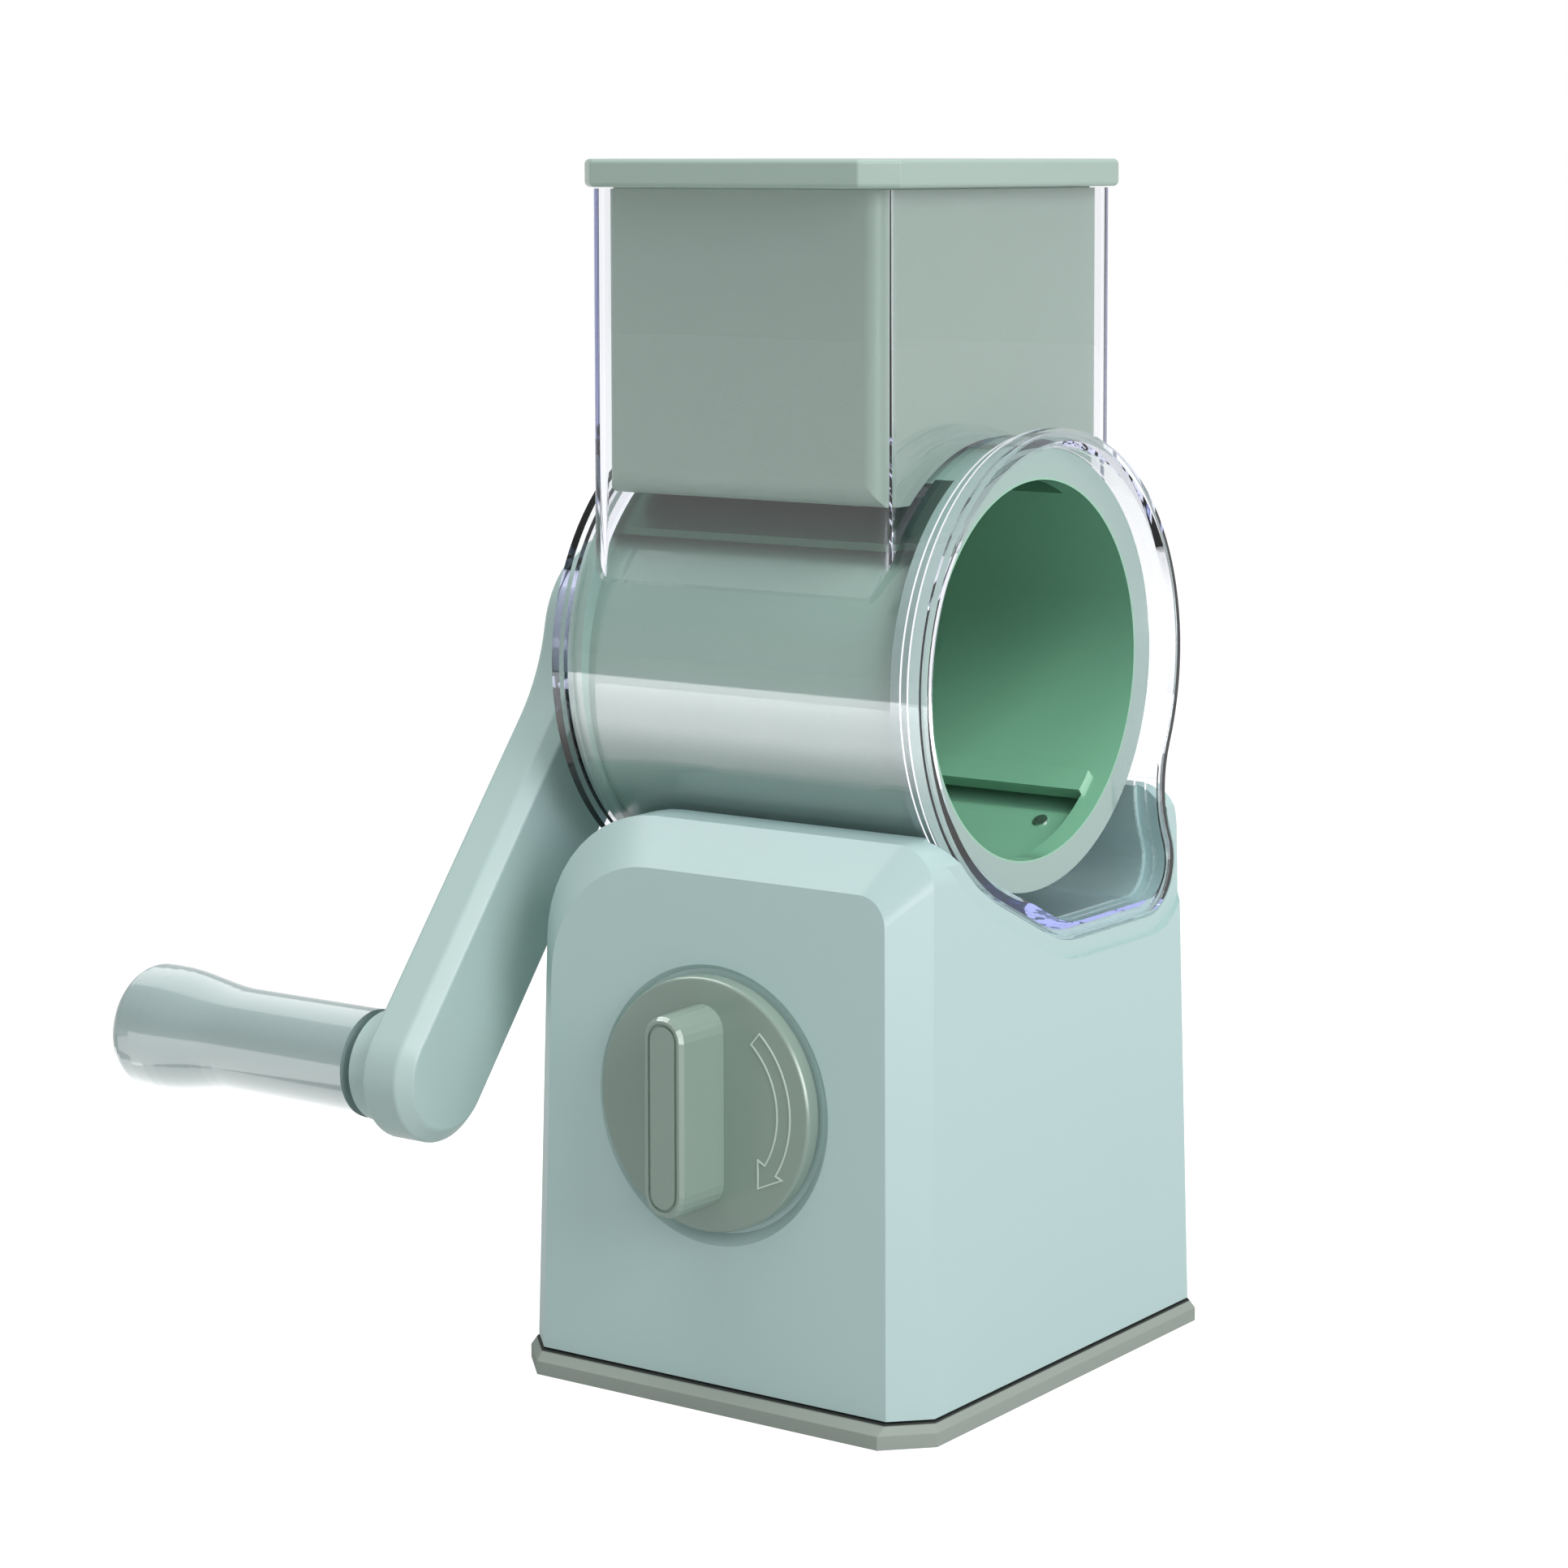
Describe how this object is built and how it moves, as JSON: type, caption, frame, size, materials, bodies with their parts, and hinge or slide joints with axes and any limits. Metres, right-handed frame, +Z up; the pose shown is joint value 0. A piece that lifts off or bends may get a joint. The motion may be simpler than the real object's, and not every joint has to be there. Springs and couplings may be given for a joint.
{
  "type": "rotary vegetable slicer",
  "caption": "Rotary vegetable slicer: clear drum housing with square feed chute and pusher, slicing drum, hand crank with turning grip, and body on a suction foot with a lock knob.",
  "frame": {"origin": "centre of the foot's underside, on the table", "axes": "+Z up, +X along the drum towards its open mouth with the crank on -X, and -Y to the front with the suction knob"},
  "size_m": [0.2063, 0.1483, 0.265],
  "materials": {
    "body_plastic": "satin sage green moulding",
    "frame_plastic": "plain grey green moulding",
    "steel": "plain steel",
    "foot_rubber": "soft grey green rubber",
    "post_plastic": "white engineering plastic",
    "knob_plastic": "satin grey green moulding",
    "clear_plastic": "clear polished plastic with a faint cool edge",
    "bush_plastic": "white bearing plastic",
    "drum_plastic": "glossy green moulding",
    "blade_steel": "bright sharpened steel",
    "arm_plastic": "satin sage green moulding",
    "seal_rubber": "dark rubber",
    "grip_plastic": "satin sage green moulding",
    "pusher_plastic": "satin grey green moulding"
  },
  "bodies": {
    "base": {"base_housing": "body_plastic", "inner_frame": "frame_plastic", "frame_screws": "steel", "suction_pad": "foot_rubber", "drum_housing": "clear_plastic", "shaft_bush": "bush_plastic"},
    "post": {"suction_post": "post_plastic"},
    "knob": {"suction_knob": "knob_plastic", "lift_cam": "post_plastic", "cam_washer": "steel", "cam_screw": "steel"},
    "crank": {"crank_arm": "arm_plastic", "drive_shaft": "steel", "shaft_screw": "steel", "hub_cap": "arm_plastic", "shaft_seal": "seal_rubber", "shaft_clip": "steel", "grip_axle": "steel", "grip_collar": "arm_plastic", "axle_washer": "steel", "axle_screw": "steel"},
    "grip": {"grip": "grip_plastic", "grip_cap": "grip_plastic"},
    "drum": {"drum_frame": "drum_plastic", "front_blade": "blade_steel", "rear_blade": "blade_steel", "blade_rivets": "steel"},
    "pusher": {"pusher_body": "pusher_plastic", "pusher_lid": "pusher_plastic"}
  },
  "joints": [
    {"name": "crank_turn", "type": "hinge", "parent": "base", "child": "crank", "pos_m": [0, 0, 0.155], "axis": [1, 0, 0], "continuous": true},
    {"name": "grip_spin", "type": "hinge", "parent": "crank", "child": "grip", "pos_m": [-0.118, -0.07081, 0.06566], "axis": [1, 0, 0], "continuous": true},
    {"name": "drum_pull", "type": "slide", "parent": "crank", "child": "drum", "axis": [1, 0, 0], "range_m": [0, 0.1]},
    {"name": "pusher_lift", "type": "slide", "parent": "base", "child": "pusher", "axis": [0, 0, 1], "range_m": [0, 0.075]},
    {"name": "knob_turn", "type": "hinge", "parent": "base", "child": "knob", "pos_m": [0, 0, 0.066], "axis": [0, 1, 0], "range_deg": [0, 90]},
    {"name": "post_lift", "type": "slide", "parent": "base", "child": "post", "axis": [0, 0, 1], "range_m": [0, 0.004], "deforming": ["suction_pad"]}
  ],
  "couplings": [
    {"joint": "knob_turn", "follows": "post_lift", "rad_per_m": 392.7}
  ]
}
